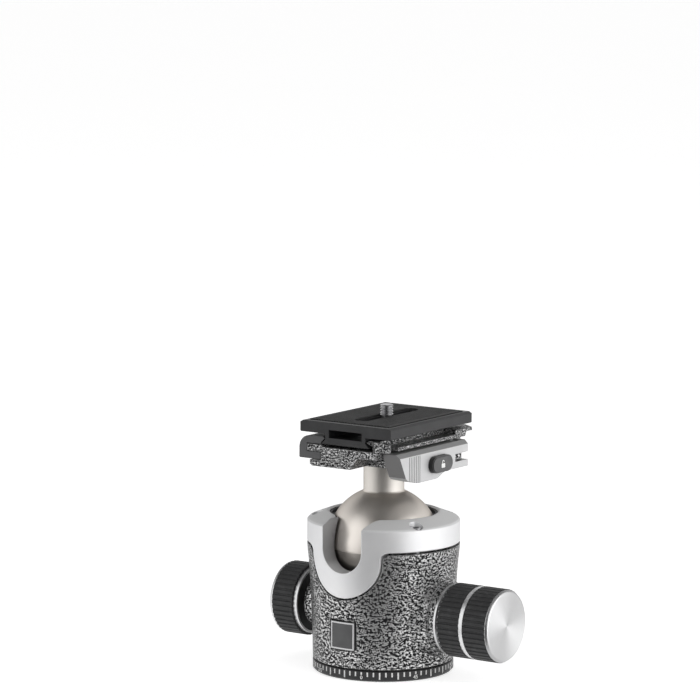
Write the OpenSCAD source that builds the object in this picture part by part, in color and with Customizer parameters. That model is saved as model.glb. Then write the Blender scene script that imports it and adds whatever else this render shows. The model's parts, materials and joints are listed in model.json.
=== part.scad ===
// Panning ball head with a lever clamp and a sliding plate.
// Millimetres. Origin: centre of the base's underside.
// +Z is up, +X runs along the main knob, -Y runs through the drop notch.

/* [Base] */
// Height of the degree ring
base_h = 5.2; // [3:0.1:10]
// Chamfer round the ring's lower edge
base_chamfer = 0.9; // [0.2:0.1:2]
// Wall radius of the 3/8 inch tripod thread
tripod_r = 4.7625; // [3.175:0.0005:5]
// Depth of the tripod thread
tripod_depth = 14; // [8:0.5:20]
// Radius of the turning spindle
spindle_r = 12; // [9:0.1:14]
// Height of the spindle's wide part above the base
spindle_h = 12.2; // [12:0.1:14]
// Radius of the brake drum on the spindle
drum_r = 10; // [7:0.1:12]
// Radius of the spindle's fixing flange
flange_r = 21; // [18:0.1:26]
// Thickness of the spindle's fixing flange
flange_t = 2.8; // [2:0.1:3.5]
// Number of base screws
base_screw_count = 3; // [3:1:6]
// Shank radius of a base screw
base_screw_r = 2; // [1.5:0.1:3]
// Radius of the circle of base screws
base_screw_pitch_r = 16.5; // [14:0.1:19]
// Rim of the base ring outside the washer
washer_inset = 3.3; // [1:0.1:6]

/* [Housing] */
// Gap between the base ring and the housing
pan_gap = 0.7; // [0.4:0.05:1.5]
// How much narrower the housing's foot is than its top
housing_taper = 2.9; // [0:0.1:6]
// Thickness of the housing's floor
floor_t = 8; // [5:0.1:12]
// Room between the spindle and the well's wall
well_room = 5.6; // [4:0.1:8]
// Depth of both knobs' axis below the ball's bore
knob_drop = 4.7; // [4.5:0.1:8]
// Radius of the main knob's boss
boss_r = 17; // [12:0.1:20]
// How far the main knob's boss stands out
boss_out = 3.4; // [2:0.1:8]
// Widening of the main boss where it joins the housing
boss_flare = 5; // [1:0.1:6]
// Radius of the pan knob's boss
pan_boss_r = 12.5; // [9:0.1:16]
// How far the pan knob's boss stands out
pan_boss_out = 1.4; // [1:0.1:6]
// Side of the square badge plate
badge_side = 13.6; // [8:0.1:20]
// Height of the badge plate's centre above the housing's foot
badge_up = 15.7; // [10:0.1:24]
// Depth of the badge plate's pocket
badge_t = 1.5; // [1:0.1:2.5]
// Gap round the badge plate
badge_gap = 0.9; // [0.1:0.05:1]
// How far the badge plate stands out at its middle
badge_proud = 0.95; // [0.5:0.05:1.5]

/* [Collar] */
// Wall from the ball's bore to the collar's outside
collar_wall = 9.1; // [8:0.1:12]
// How far the collar stands out over the housing
collar_step = 0; // [0:0.05:1]
// Height of the collar's outer rim
collar_h = 11.2; // [8:0.1:18]
// Rise of the collar's top from its rim to its inner edge
lip_rise = 3.4; // [1:0.1:6]
// How far the collar's inner edge closes over the ball
lip_over = 1.8; // [1:0.1:3]
// Half width of the drop notch
notch_r = 11.3; // [10.5:0.1:15]
// How far the notch's round bottom is centred above the ball
notch_rise = 1.2; // [0:0.1:1.2]
// Thickness of the wall that lines the notch
notch_wall = 1.5; // [1:0.1:2]
// Radius of the notch's upper edges
notch_round = 3.2; // [1:0.1:3.4]
// Half width of the apron round the notch
apron_r = 19.6; // [14:0.1:24]
// Depth of the apron below the notch's centre
apron_drop = 23.6; // [16:0.1:30]
// Thickness of the apron
apron_t = 5; // [3:0.1:6]
// Groove between the collar and the housing
groove = 1; // [0.3:0.05:1.5]
// Radius of the fillets beside the apron
apron_fillet = 3; // [1:0.1:6]
// Thickness of the liner outside the ball's bore
liner_t = 1.3; // [0.8:0.1:1.6]
// Depth of the liner's top below the collar's inner edge
liner_down = 2.8; // [2:0.1:5]
// Depth of the liner's rim below the collar's inner edge
rim_down = 0.9; // [0.6:0.1:1.5]
// Width of the liner's rim
rim_w = 1.2; // [0.8:0.1:2]
// Depth of the liner's step below its rim
rim_step = 1.2; // [0.6:0.1:1.8]
// Angles of the collar screws from the notch
screw_angles = [62, 146, -62, -146]; // [40:1:170]
// Collar screws' distance from the collar's outside
collar_screw_in = 3.8; // [3.5:0.1:4.2]
// Shank radius of a collar screw
collar_screw_r = 1.9; // [1.5:0.1:2.1]
// Head radius of a collar screw
collar_head_r = 3; // [2.5:0.1:3.1]
// Height of a collar screw's head
collar_head_h = 3.4; // [2:0.1:4]
// Grip of a collar screw in the housing
collar_screw_grip = 11; // [6:0.5:14]

/* [Ball] */
// Radius of the ball
ball_r = 27.4; // [22:0.1:32]
// Height of the ball's bore above the housing's foot
bore_up = 27.7; // [27.5:0.1:36]
// Room between the ball and the housing
ball_room = 0.8; // [0.4:0.1:2]
// Room under the ball
ball_under = 1.4; // [1:0.1:4]
// Depth of the ball's seam
seam = 0.2; // [0.05:0.05:0.5]
// Height of the ball's seam below its centre
seam_drop = 1.4; // [0:0.1:4]
// Radius of the neck
neck_r = 10; // [7:0.05:10.2]
// Size of the small flare at the neck's foot
neck_foot = 0.5; // [0.2:0.05:1]
// Height of the neck's top above the ball's centre
neck_h = 40.1; // [34:0.1:52]
// Radius of the clamp bolt
bolt_r = 4; // [3:0.05:5]
// Depth of the clamp bolt's hole in the neck
bolt_hole = 14.5; // [10:0.5:20]

/* [Knobs] */
// Radius over the ribs of both knobs
grip_r = 17.9; // [14:0.1:22]
// Depth of a rib
rib_depth = 0.6; // [0.2:0.05:1]
// Number of ribs round a grip
rib_count = 42; // [30:1:90]
// How far the silver rings lie below the ribs
trim_in = 0.5; // [0.2:0.1:2]
// Length of the silver ring on the main boss
boss_ring_w = 2; // [1:0.1:4]
// Length of the bright rim on the boss ring
boss_rim_w = 1.2; // [0.8:0.1:1.8]
// How far the rest of the boss ring lies below its rim
boss_rim_t = 1; // [0.5:0.1:2]
// Length of the friction grip
friction_w = 12.1; // [10:0.1:16]
// Length of the silver ring between the two grips
trim_w = 2.2; // [1:0.1:4]
// Length of the lock grip
lock_w = 12.2; // [8:0.1:18]
// How far the caps of the knobs lie below the ribs
cap_in = 0.3; // [0.1:0.05:1]
// Length of the lock knob's silver cap
cap_w = 1.6; // [1:0.1:4]
// Gap between the pan boss and its grip
pan_knob_gap = 3.8; // [2.8:0.1:6]
// Length of the pan grip
pan_w = 11.8; // [8:0.1:18]
// Length of the pan knob's cap
pan_cap_w = 1.8; // [1:0.1:4]
// Length of the pan knob's silver ring
pan_ring_w = 2.2; // [1:0.1:2.4]
// Wall of the pan knob's silver ring
pan_ring_t = 1; // [0.8:0.1:4]
// Radius of the friction ring's hub
hub_r = 12; // [10:0.1:14]
// Radius of the lock spindle
lock_spindle_r = 5; // [3.5:0.05:6]
// Wall of the lock bush
lock_bush_t = 3; // [1.5:0.05:4]
// Reach of the lock bush into the friction ring
lock_bush_out = 8; // [5:0.1:9]
// Radius of the pan screw
pan_screw_r = 4; // [3:0.05:4.2]
// Wall of the pan bush
pan_bush_t = 2.5; // [1:0.05:4]

/* [Lock] */
// Slope of the wedge in degrees
wedge_slope = 15; // [8:1:25]
// Width of the wedge
wedge_w = 12; // [8:0.1:13]
// Length of the wedge
wedge_l = 12.5; // [9:0.1:14]
// Height of the wedge's tall end above the bore's floor
wedge_up = 2.9; // [2:0.1:3.5]
// Travel of the wedge
wedge_travel = 1; // [0.5:0.1:1]
// Inner radius of the friction cup
cup_r0 = 15; // [13:0.1:16]
// Height of the cup's underside above the bore's floor
cup_up = 4.4; // [4:0.1:6]
// Height of the friction cup
cup_h = 7; // [5:0.1:10]
// Inner radius of the disc spring
spring_disc_r = 20; // [17:0.1:22]
// Thickness of the disc spring
spring_disc_t = 0.6; // [0.3:0.05:1]
// Radius of the brake shoe
shoe_r = 4.2; // [3:0.1:4.3]
// Length of the brake shoe
shoe_l = 5.88; // [4:0.01:6]

/* [Clamp] */
// Height of the clamp under its channel
clamp_h = 9.55; // [8:0.05:14]
// Height of the jaws above the channel's floor
jaw_h = 5.1; // [4:0.1:8]
// How much longer the clamp is than the plate
clamp_extra = 2.45; // [0.7:0.05:10]
// Middle of the clamp along Y
clamp_mid = 3.1; // [-5:0.1:5]
// Wall of the clamp outside the dovetail, on the lever's side
clamp_wall = 4.8; // [4:0.1:8]
// Width of the fixed jaw outside the dovetail
rail_w = 11.6; // [9:0.1:16]
// Width of the movable jaw outside the dovetail
jaw_w = 13.3; // [11:0.1:18]
// Step between the movable jaw and the clamp's lower body
jaw_step = 6.3; // [4:0.1:8]
// Height of the movable jaw's tongue
tongue_h = 3.4; // [3:0.1:4]
// Height of the tongue's underside above the clamp's underside
tongue_up = 3.45; // [3:0.05:4]
// Depth of the tongue's upper shelf
shelf_w = 4.5; // [3:0.1:6]
// Radius of the movable jaw's rounded edge
jaw_round = 6; // [2:0.1:7]
// Travel of the movable jaw
jaw_travel = 3; // [2:0.1:4]
// Gap between the lever's top and the fixed jaw above it
rail_gap = 1.1; // [0.3:0.1:2]
// Fall of the fixed jaw's top towards its outer edge
rail_slope = 0.9; // [0.2:0.1:1.5]
// Height of the sill left under the long relief in the fixed jaw's side
relief_up = 1.7; // [1:0.1:2.5]
// Depth of the relief
relief_in = 7.4; // [3:0.1:8]
// Wall between the relief and the clamp's near end
relief_front = 2.2; // [1.5:0.1:6]
// Length of the block between the relief and the clamp's far end
relief_back = 14.5; // [8:0.1:20]
// Length of the pocket through the sill, at the lever's nose
pocket_l = 6.4; // [2:0.1:10]
// Depth of that pocket
pocket_in = 4.5; // [2:0.1:6]
// How far the sill stops short of the clamp's far end
sill_end = 6.6; // [2:0.1:8]
// Side of the cut at the mouths of the dovetail groove
rail_cut = 4; // [1:0.1:6]
// Depth of the cut for the lever's nose
nose_cut = 14; // [6:0.1:14.5]
// Height of the fixed jaw's underside above that cut
nose_drop = 4.1; // [2:0.1:6]
// Radius of the jaw's rods
rod_r = 1.6; // [1:0.05:1.65]
// Reach of the rods into the clamp
rod_in = 13.9; // [8:0.1:15]
// Distance between the rods
rod_space = 29; // [20:0.5:34]
// Head radius of the clamp bolt
bolt_head_r = 6.5; // [5:0.1:8]
// Height of the clamp bolt's head
bolt_head_h = 4.6; // [3:0.1:5]
// Outer radius of a jaw spring
spring_r = 2.45; // [2.2:0.05:2.45]
// Length of a jaw spring
spring_l = 9.4; // [8:0.1:12]
// Wire radius of the springs
wire_r = 0.3; // [0.2:0.02:0.32]
// Curls in a jaw spring
spring_turns = 7; // [4:1:8]

/* [Lever] */
// Gap between the clamp's wall and the lever
lever_gap = 0.5; // [0.4:0.05:1]
// Thickness of the lever
lever_t = 9.8; // [9:0.1:14]
// Height of the lever's arm
lever_h = 12.9; // [10:0.1:14]
// Height of the lever's top above the clamp's underside
lever_up = 8.95; // [5:0.05:9]
// Depth of the lever's belly below its arm
belly = 2.7; // [1:0.1:4]
// Bevel along the lever's upper outer edge
lever_bevel = 1.9; // [0.5:0.1:2.5]
// Chamfer along the belly's inner edge
lever_chamfer = 1.2; // [0.8:0.1:2]
// Length of the lever's slanted nose
nose_l = 5.7; // [3:0.1:9]
// Distance from the nose to the belly
belly_start = 17; // [12:0.1:22]
// Length of the flat belly
belly_l = 15.2; // [8:0.1:18]
// Length of the slope from the belly to the arm
belly_slope = 7.8; // [4:0.1:9]
// Near end of the lever behind the clamp's end
lever_back = 4.3; // [3:0.1:8]
// Lever's end beyond its pivot
lever_tail = 5.2; // [4.5:0.1:6]
// Pivot's distance from the clamp's far end
pivot_in = 14.1; // [10:0.1:18]
// Radius of the pivot pin
pin_r = 2; // [1.5:0.05:2.2]
// Radius of the clamp's lug in the lever's fork
lug_r = 3.8; // [3.2:0.1:4.2]
// Height of the fork's lower cheek
fork_up = 3.3; // [2.5:0.1:3.6]
// Height of the lever's fork
fork_h = 3.8; // [2.5:0.1:5]
// Ribs on the lever's face
lever_ribs = 7; // [0:1:10]
// Spacing of the lever's ribs
lever_rib_pitch = 1.5; // [1:0.1:2]
// Length of the lock button
button_l = 17.4; // [10:0.1:20]
// Height of the lock button
button_h = 8; // [5:0.1:9]
// Depth of the button in the lever
button_in = 5.4; // [4:0.1:5.6]
// How far the button stands out
button_proud = 2.9; // [2:0.1:5]
// Travel of the button
button_travel = 1.8; // [1:0.1:2]
// Button's place along Y
button_y = 4.6; // [0:0.1:6]
// Height of the button's centre above the lever's arm
button_up = 4.6; // [4:0.1:6]

/* [Plate] */
// Half width of the plate
plate_x = 26.4; // [22:0.1:35]
// Length of the plate
plate_l = 70.35; // [50:0.05:110]
// Middle of the plate along Y
plate_mid = 2.125; // [-5:0.005:5]
// Gap between the jaws' tops and the slab
plate_gap = 1.6; // [0.6:0.1:3]
// Thickness of the slab
plate_t = 5.6; // [4:0.1:9]
// Half width of the dovetail's foot
foot_x = 13.6; // [12:0.05:20]
// Height of the dovetail's foot above the channel's floor
foot_up = 1.6; // [1:0.1:3]
// How far the dovetail's waist is cut in
waist_in = 1.9; // [1:0.05:3]
// Half width of the channel through the plate
channel_x = 9.6; // [9:0.1:10]
// Thickness of the dovetail under the channel
channel_t = 3.2; // [2:0.1:4]
// Height of the channel
channel_h = 3.9; // [3:0.1:5]
// Half length of the camera screw's slot
slot_y = 20; // [4:0.5:20]
// Border round the pad
pad_border = 3.2; // [2:0.1:6]
// Thickness of the pad
pad_t = 1.1; // [0.8:0.05:2]
// Depth of the pad's pocket
pad_in = 0.7; // [0.3:0.05:0.75]
// Travel of the plate each way
plate_travel = 8; // [2:0.5:8]
// Radius of a plate stop
stop_r = 1.5; // [1:0.1:2]
// Distance of a plate stop from the plate's middle
stop_out = 22; // [16:0.5:24]
// Radius of the camera screw, 1/4 inch
stud_r = 3.175; // [3:0.005:4.7625]
// How far the camera screw stands out of the slab
stud_h = 5.5; // [4:0.1:8]
// Radius of the camera screw's head
stud_head_r = 8.4; // [6:0.1:8.6]

/* [Fits] */
// Radial clearance of parts that turn or slide in one another
run_gap = 0.05; // [0.02:0.01:0.1]
// Clearance of parts that are fixed in one another
fix_gap = 0.02; // [0:0.01:0.1]
// Clearance between moving bodies
body_gap = 0.4; // [0.3:0.05:0.6]
// Clearance of a screw's shank and head in their holes
screw_gap = 0.2; // [0.1:0.05:0.4]
// Small broken edges
edge = 0.4; // [0.2:0.05:0.6]

/* [Hidden] */
$fn = 72;
far = 200;
bore_r = ball_r + ball_room;
collar_r = bore_r + collar_wall;
housing_r1 = collar_r - collar_step;
housing_r0 = housing_r1 - housing_taper;
base_r = housing_r0;
housing_z0 = base_h + pan_gap;
bore_z = housing_z0 + bore_up;
ball_z = bore_z + ball_under + ball_r;
housing_z1 = ball_z;
floor_z = housing_z0 + floor_t;
well_r = spindle_r + well_room;
flange_z = base_h - flange_t;
drum_top = bore_z - screw_gap;
knob_z = bore_z - knob_drop;
boss_x = housing_r1 + boss_out;
pan_boss_x = housing_r1 + pan_boss_out;
badge_z = housing_z0 + badge_up;
collar_z0 = housing_z1 + groove;
rim_z = collar_z0 + collar_h;
lip_z = rim_z + lip_rise;
lip_r = bore_r - lip_over;
liner_r = bore_r + liner_t;
liner_z1 = lip_z - liner_down;
collar_screw_pitch_r = collar_r - collar_screw_in;
head_z = rim_z - collar_head_h + screw_gap;
notch_z = ball_z + notch_rise;
apron_cz = notch_z - apron_drop + apron_r;
neck_z = ball_z + neck_h;
trim_r = grip_r - trim_in;
cap_r = grip_r - cap_in;
friction_x0 = boss_x + boss_ring_w + body_gap;
lock_x0 = friction_x0 + friction_w + trim_w + body_gap;
lock_x1 = lock_x0 + lock_w;
pan_x0 = pan_boss_x + pan_knob_gap;
pan_x1 = pan_x0 + pan_w;
lock_bush_r = lock_spindle_r + lock_bush_t;
lock_bush_x0 = bore_r + screw_gap;
pan_bush_r = pan_screw_r + pan_bush_t;
pan_bush_x0 = bore_r + body_gap;
wedge_x1 = bore_r - 2 * ball_room - 2 * run_gap;
wedge_x0 = wedge_x1 - wedge_l;
wedge_z1 = bore_z + wedge_up;
wedge_tan = tan(wedge_slope);
cup_z = bore_z + cup_up;
spindle_tip = wedge_x1 + wedge_travel + 3 * run_gap;
shoe_x = drum_r + 2.4 * run_gap;
clamp_z0 = neck_z + run_gap;
clamp_floor = clamp_z0 + clamp_h;
jaw_top = clamp_floor + jaw_h;
clamp_l = plate_l + clamp_extra;
clamp_y0 = clamp_mid - clamp_l / 2;
clamp_y1 = clamp_mid + clamp_l / 2;
clamp_x1 = foot_x + clamp_wall;
rail_x = foot_x + rail_w;
jaw_x = -foot_x - jaw_w;
clamp_x0 = jaw_x + jaw_step;
waist_x = foot_x - waist_in;
foot_z = clamp_floor + foot_up;
groove_x = foot_x + body_gap + 2 * run_gap;
groove_waist = waist_x + body_gap;
tongue_z0 = clamp_z0 + tongue_up;
tongue_z1 = tongue_z0 + tongue_h;
tongue_x = -groove_x - body_gap - 2 * run_gap;
shelf_x = jaw_x + shelf_w;
shelf_z = clamp_floor + 2.5 * body_gap;
rod_z = tongue_z0 + tongue_h / 2 + run_gap;
lever_x0 = clamp_x1 + lever_gap;
lever_x1 = lever_x0 + lever_t;
lever_top = clamp_z0 + lever_up;
lever_bottom = lever_top - lever_h;
lever_belly = lever_bottom - belly;
lever_y0 = clamp_y0 + lever_back;
pivot_x = (lever_x0 + lever_x1) / 2;
pivot_y = clamp_y1 - pivot_in;
lever_y1 = pivot_y + lever_tail;
fork_z0 = lever_bottom + fork_up;
fork_z1 = fork_z0 + fork_h;
fork_back = lug_r + 2.2;
overhang_z = lever_top + rail_gap;
sill_z = overhang_z + relief_up;
nose_z = overhang_z - nose_drop;
button_z = lever_bottom + button_up;
button_back = lever_x1 - button_in;
plate_z0 = jaw_top + plate_gap;
plate_z1 = plate_z0 + plate_t;
plate_y0 = plate_mid - plate_l / 2;
plate_y1 = plate_mid + plate_l / 2;
channel_z0 = foot_z + channel_t;
channel_z1 = channel_z0 + channel_h;
stop_y = [plate_mid - stop_out, plate_mid + stop_out];
coil_pitch = (spring_l - 2 * wire_r) / spring_turns;
button_coil_pitch = 3.5 * wire_r;
echo(least_gap_of_springs_to_themselves = min(coil_pitch, button_coil_pitch) - 2 * wire_r);

function arc(cx, cy, r, a0, a1, n) =
  [for (i = [0:n]) [cx + r * cos(a0 + (a1 - a0) * i / n), cy + r * sin(a0 + (a1 - a0) * i / n)]];
function ribbed(r, depth, count) = [for (i = [0:count - 1]) for (k = [0:3])
  let(a = (i + [0, 0.12, 0.66, 0.78][k]) * 360 / count, q = r - (k == 1 || k == 2 ? 0 : depth))
  [q * cos(a), q * sin(a)]];
// Share of the housing's taper at a share of its height; it runs into the collar without a corner
function bow(h) = h < 0.85 ? h * (0.48 + 0.52 * h * h) :
  let(u = (h - 0.85) / 0.15) 0.7273 + u * (0.241 + u * (0.3361 - 0.3044 * u));
// A point on the housing's outline: share of its taper, share of its height
function flank(taper, height) =
  [housing_r0 + taper * housing_taper, housing_z0 + height * (housing_z1 - housing_z0)];

module along_x(x, r, l) {
  translate([x, 0, knob_z]) rotate([0, 90, 0]) cylinder(r = r, h = l);
}

module ribbed_x(x, l) {
  translate([x, 0, knob_z]) rotate([0, 90, 0]) linear_extrude(height = l)
    polygon(ribbed(grip_r, rib_depth, rib_count));
}

module outer_form(top) {
  rotate_extrude() polygon(concat([[0, housing_z0]], [for (i = [0:14]) flank(bow(i / 14), i / 14)],
    [[housing_r1, top], [0, top]]));
}

module apron_form(extra) {
  rotate([90, 0, 0]) linear_extrude(height = 2 * collar_r) {
    translate([0, apron_cz]) circle(r = apron_r + extra);
    translate([-apron_r - extra, apron_cz]) square([2 * (apron_r + extra), collar_z0 - apron_cz + 1]);
    difference() {
      translate([-apron_r - apron_fillet, collar_z0 - apron_fillet - extra])
        square([2 * (apron_r + apron_fillet), apron_fillet + extra + 1]);
      for (s = [-1, 1]) translate([s * (apron_r + apron_fillet), collar_z0 - apron_fillet - extra])
        circle(r = apron_fillet - extra);
    }
  }
}

module notch_form(extra) {
  rotate([90, 0, 0]) linear_extrude(height = 2 * collar_r) {
    translate([0, notch_z]) circle(r = notch_r + extra);
    translate([-notch_r - extra, notch_z]) square([2 * (notch_r + extra), far]);
  }
}

module at_screws() {
  for (a = screw_angles) rotate([0, 0, a - 90]) translate([collar_screw_pitch_r, 0, 0]) children();
}

module at_base_screws() {
  for (i = [0:base_screw_count - 1]) rotate([0, 0, 360 * i / base_screw_count])
    translate([base_screw_pitch_r, 0, 0]) children();
}

module coil(turns, r, pitch) {
  rings = 8 * turns;
  points = [for (i = [0:rings]) for (k = [0:5])
    let(a = 45 * i, b = 60 * k, q = r + wire_r * cos(b))
    [q * cos(a), q * sin(a), pitch * i / 8 + wire_r * sin(b)]];
  faces = concat([[for (k = [0:5]) k]], [[for (k = [0:5]) rings * 6 + 5 - k]],
    [for (i = [0:rings - 1]) for (k = [0:5])
      [i * 6 + k, (i + 1) * 6 + k, (i + 1) * 6 + (k + 1) % 6, i * 6 + (k + 1) % 6]]);
  polyhedron(points, faces);
}

module along_y(y0, y1) {
  translate([0, y1, 0]) rotate([90, 0, 0]) linear_extrude(height = y1 - y0) children();
}

module base_ring() {
  color([0.06, 0.06, 0.06]) difference() {
    rotate_extrude() polygon([[0, 0], [base_r - base_chamfer, 0], [base_r, base_chamfer],
      [base_r, base_h - edge], [base_r - edge, base_h], [0, base_h]]);
    translate([0, 0, -1]) cylinder(r = spindle_r + fix_gap, h = far);
    translate([0, 0, flange_z - fix_gap]) cylinder(r = flange_r + fix_gap, h = far);
    at_base_screws() {
      translate([0, 0, -1]) cylinder(r = base_screw_r + screw_gap, h = far);
      translate([0, 0, -1]) cylinder(r = 2 * base_screw_r + screw_gap, h = 1 + 0.6 * flange_z);
    }
  }
}

module pan_spindle() {
  color([0.62, 0.62, 0.63]) difference() {
    union() {
      cylinder(r = spindle_r, h = base_h + spindle_h);
      cylinder(r = drum_r, h = drum_top);
      translate([0, 0, flange_z]) cylinder(r = flange_r, h = flange_t);
    }
    translate([0, 0, -1]) cylinder(r = tripod_r, h = tripod_depth + 1);
    at_base_screws() cylinder(r = base_screw_r + fix_gap, h = far);
  }
}

module base_screws() {
  color([0.3, 0.3, 0.31]) at_base_screws() difference() {
    union() {
      translate([0, 0, 0.1 * flange_z]) cylinder(r = 2 * base_screw_r, h = 0.5 * flange_z - fix_gap);
      translate([0, 0, 0.1 * flange_z]) cylinder(r = base_screw_r, h = base_h - 0.2 * flange_z);
    }
    translate([0, 0, -1]) cylinder(r = 0.7 * base_screw_r, h = 1 + 0.45 * flange_z, $fn = 6);
  }
}

module pan_washer() {
  color([0.85, 0.84, 0.8]) difference() {
    translate([0, 0, base_h]) cylinder(r = base_r - washer_inset, h = pan_gap - run_gap);
    translate([0, 0, base_h - 1]) cylinder(r = spindle_r + body_gap, h = far);
  }
}

module retaining_ring() {
  color([0.55, 0.5, 0.35]) difference() {
    translate([0, 0, floor_z + run_gap]) cylinder(r = well_r - 3 * body_gap, h = 0.37 * floor_t);
    translate([0, 0, floor_z - 1]) cylinder(r = spindle_r + fix_gap, h = far);
  }
}

module housing() {
  flare_x = housing_r0 - boss_r + boss_out;
  color([0.22, 0.22, 0.22]) difference() {
    union() {
      outer_form(housing_z1);
      along_x(flare_x, boss_r, boss_x - flare_x);
      translate([flare_x, 0, knob_z]) rotate([0, 90, 0])
        cylinder(r1 = boss_r + boss_flare, r2 = boss_r + 0.3 * boss_flare, h = boss_x - flare_x - boss_out);
      along_x(-pan_boss_x, pan_boss_r, pan_boss_x / 2);
    }
    translate([0, 0, -1]) cylinder(r = spindle_r + run_gap, h = far);
    translate([0, 0, floor_z]) cylinder(r = well_r, h = far);
    translate([0, 0, bore_z]) cylinder(r = bore_r, h = far);
    intersection() {
      apron_form(groove);
      difference() {
        cylinder(r = 2 * collar_r, h = far);
        translate([0, 0, -1]) cylinder(r = housing_r1 - apron_t - groove, h = far + 2);
      }
    }
    notch_form(notch_wall + groove);
    along_x(spindle_tip, lock_bush_r + fix_gap, far);
    translate([0, -wedge_w / 2 - run_gap, knob_z - lock_spindle_r - 2 * run_gap])
      cube([spindle_tip + body_gap, wedge_w + 2 * run_gap, bore_z - knob_z + lock_spindle_r + body_gap]);
    along_x(-far, shoe_r + run_gap, far - shoe_x);
    along_x(-far, pan_bush_r + fix_gap, far - pan_bush_x0 + fix_gap);
    at_screws() translate([0, 0, housing_z1 - collar_screw_grip - 1])
      cylinder(r = collar_screw_r + fix_gap, h = far);
    translate([-badge_side / 2 - badge_gap, -far, badge_z - badge_side / 2 - badge_gap])
      cube([badge_side + 2 * badge_gap, far - housing_r0 + badge_t + fix_gap, badge_side + 2 * badge_gap]);
  }
}

// Wall of the notch, from the outside in to the ball's bore; it drops on from above
module notch_lining() {
  intersection() {
    outer_form(collar_z0 + groove);
    difference() {
      notch_form(notch_wall);
      translate([0, 0, -1]) cylinder(r = bore_r, h = far);
    }
  }
  intersection() {
    difference() {
      translate([0, 0, collar_z0]) cylinder(r = lip_r + lip_over, h = liner_z1 - collar_z0 + 1);
      translate([0, 0, ball_z]) sphere(r = bore_r);
    }
    notch_form(notch_wall);
  }
}

module collar() {
  color([0.8, 0.8, 0.8]) difference() {
    union() {
      rotate_extrude() polygon([[bore_r, collar_z0], [collar_r - edge, collar_z0],
        [collar_r, collar_z0 + edge], [collar_r, rim_z - 2 * edge], [collar_r - 2 * edge, rim_z],
        [lip_r + lip_over, lip_z - edge / 2],
        [lip_r + lip_over / 2, lip_z], [lip_r, lip_z - edge], [lip_r, liner_z1 + fix_gap],
        [bore_r, liner_z1 + fix_gap]]);
      intersection() {
        outer_form(collar_z0 + groove);
        difference() {
          apron_form(0);
          cylinder(r = housing_r1 - apron_t, h = far);
        }
      }
      notch_lining();
    }
    difference() {
      translate([0, 0, collar_z0 - 1]) cylinder(r = liner_r + fix_gap, h = liner_z1 - collar_z0 + 1);
      notch_form(notch_wall);
    }
    notch_form(0);
    for (s = [-1, 1]) along_y(-far, 0)
      polygon([for (q = concat(arc(notch_r + notch_round, lip_z - notch_round, notch_round, 180, 90, 8),
        [[notch_r + notch_round, lip_z + 1], [0, lip_z + 1], [0, lip_z - notch_round]])) [s * q[0], q[1]]]);
    at_screws() {
      translate([0, 0, collar_z0 - 1]) cylinder(r = collar_screw_r + screw_gap, h = far);
      translate([0, 0, head_z]) cylinder(r = collar_head_r + 2 * screw_gap, h = far);
    }
  }
}

module collar_liner() {
  color([0.03, 0.03, 0.03]) difference() {
    union() {
      translate([0, 0, collar_z0]) cylinder(r = liner_r, h = liner_z1 - collar_z0 - fix_gap);
      translate([0, 0, collar_z0]) cylinder(r = lip_r - fix_gap, h = lip_z - rim_down - collar_z0);
    }
    translate([0, 0, ball_z]) sphere(r = ball_r + run_gap);
    translate([0, 0, lip_z - rim_down - rim_step]) cylinder(r = lip_r - rim_w, h = far);
    notch_form(notch_wall + body_gap);
  }
}

module collar_screws() {
  color([0.12, 0.12, 0.12]) at_screws() difference() {
    union() {
      translate([0, 0, head_z]) cylinder(r = collar_head_r, h = collar_head_h);
      translate([0, 0, housing_z1 - collar_screw_grip])
        cylinder(r = collar_screw_r, h = head_z - housing_z1 + collar_screw_grip + 1);
    }
    translate([0, 0, head_z + collar_head_h / 2]) cylinder(r = 0.58 * collar_head_r, h = far, $fn = 6);
  }
}

module badge_plate() {
  color([0.25, 0.25, 0.25]) intersection() {
    translate([-badge_side / 2, -far, badge_z - badge_side / 2])
      cube([badge_side, far - housing_r0 + badge_t, badge_side]);
    cylinder(r = housing_r0 + badge_proud, h = far);
  }
}

module lock_bush() {
  color([0.75, 0.6, 0.3]) difference() {
    along_x(lock_bush_x0, lock_bush_r, friction_x0 + lock_bush_out - lock_bush_x0);
    along_x(0, lock_spindle_r + run_gap, far);
  }
}

module pan_bush() {
  color([0.75, 0.6, 0.3]) difference() {
    along_x(-pan_boss_x - 1, pan_bush_r, pan_boss_x + 1 - pan_bush_x0);
    along_x(-far, pan_screw_r + run_gap, far);
  }
}

module boss_ring() {
  color([0.82, 0.82, 0.82]) difference() {
    union() {
      along_x(boss_x + fix_gap, trim_r, boss_rim_w - fix_gap);
      along_x(boss_x + fix_gap, trim_r - boss_rim_t, boss_ring_w - fix_gap);
    }
    along_x(0, lock_bush_r + fix_gap, far);
  }
}

module cup_spring() {
  disc_r1 = bore_r - body_gap;
  disc_up = 2 * spring_disc_t;
  color([0.5, 0.5, 0.5]) difference() {
    rotate_extrude() polygon([[spring_disc_r, bore_z + disc_up], [disc_r1, bore_z + run_gap],
      [disc_r1, bore_z + run_gap + spring_disc_t], [spring_disc_r, bore_z + disc_up + spring_disc_t]]);
    translate([0, -wedge_w / 2 - body_gap, 0]) cube([far, wedge_w + 2 * body_gap, far]);
  }
}

module pan_knob_grip() {
  color([0.04, 0.04, 0.04]) difference() {
    ribbed_x(-pan_x1, pan_w);
    along_x(-far, pan_screw_r + fix_gap, far);
  }
}

module pan_knob_ring() {
  color([0.82, 0.82, 0.82]) difference() {
    along_x(-pan_x0 + fix_gap, trim_r - 2 * edge, pan_ring_w);
    along_x(-far, trim_r - 2 * edge - pan_ring_t, far);
  }
}

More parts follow.
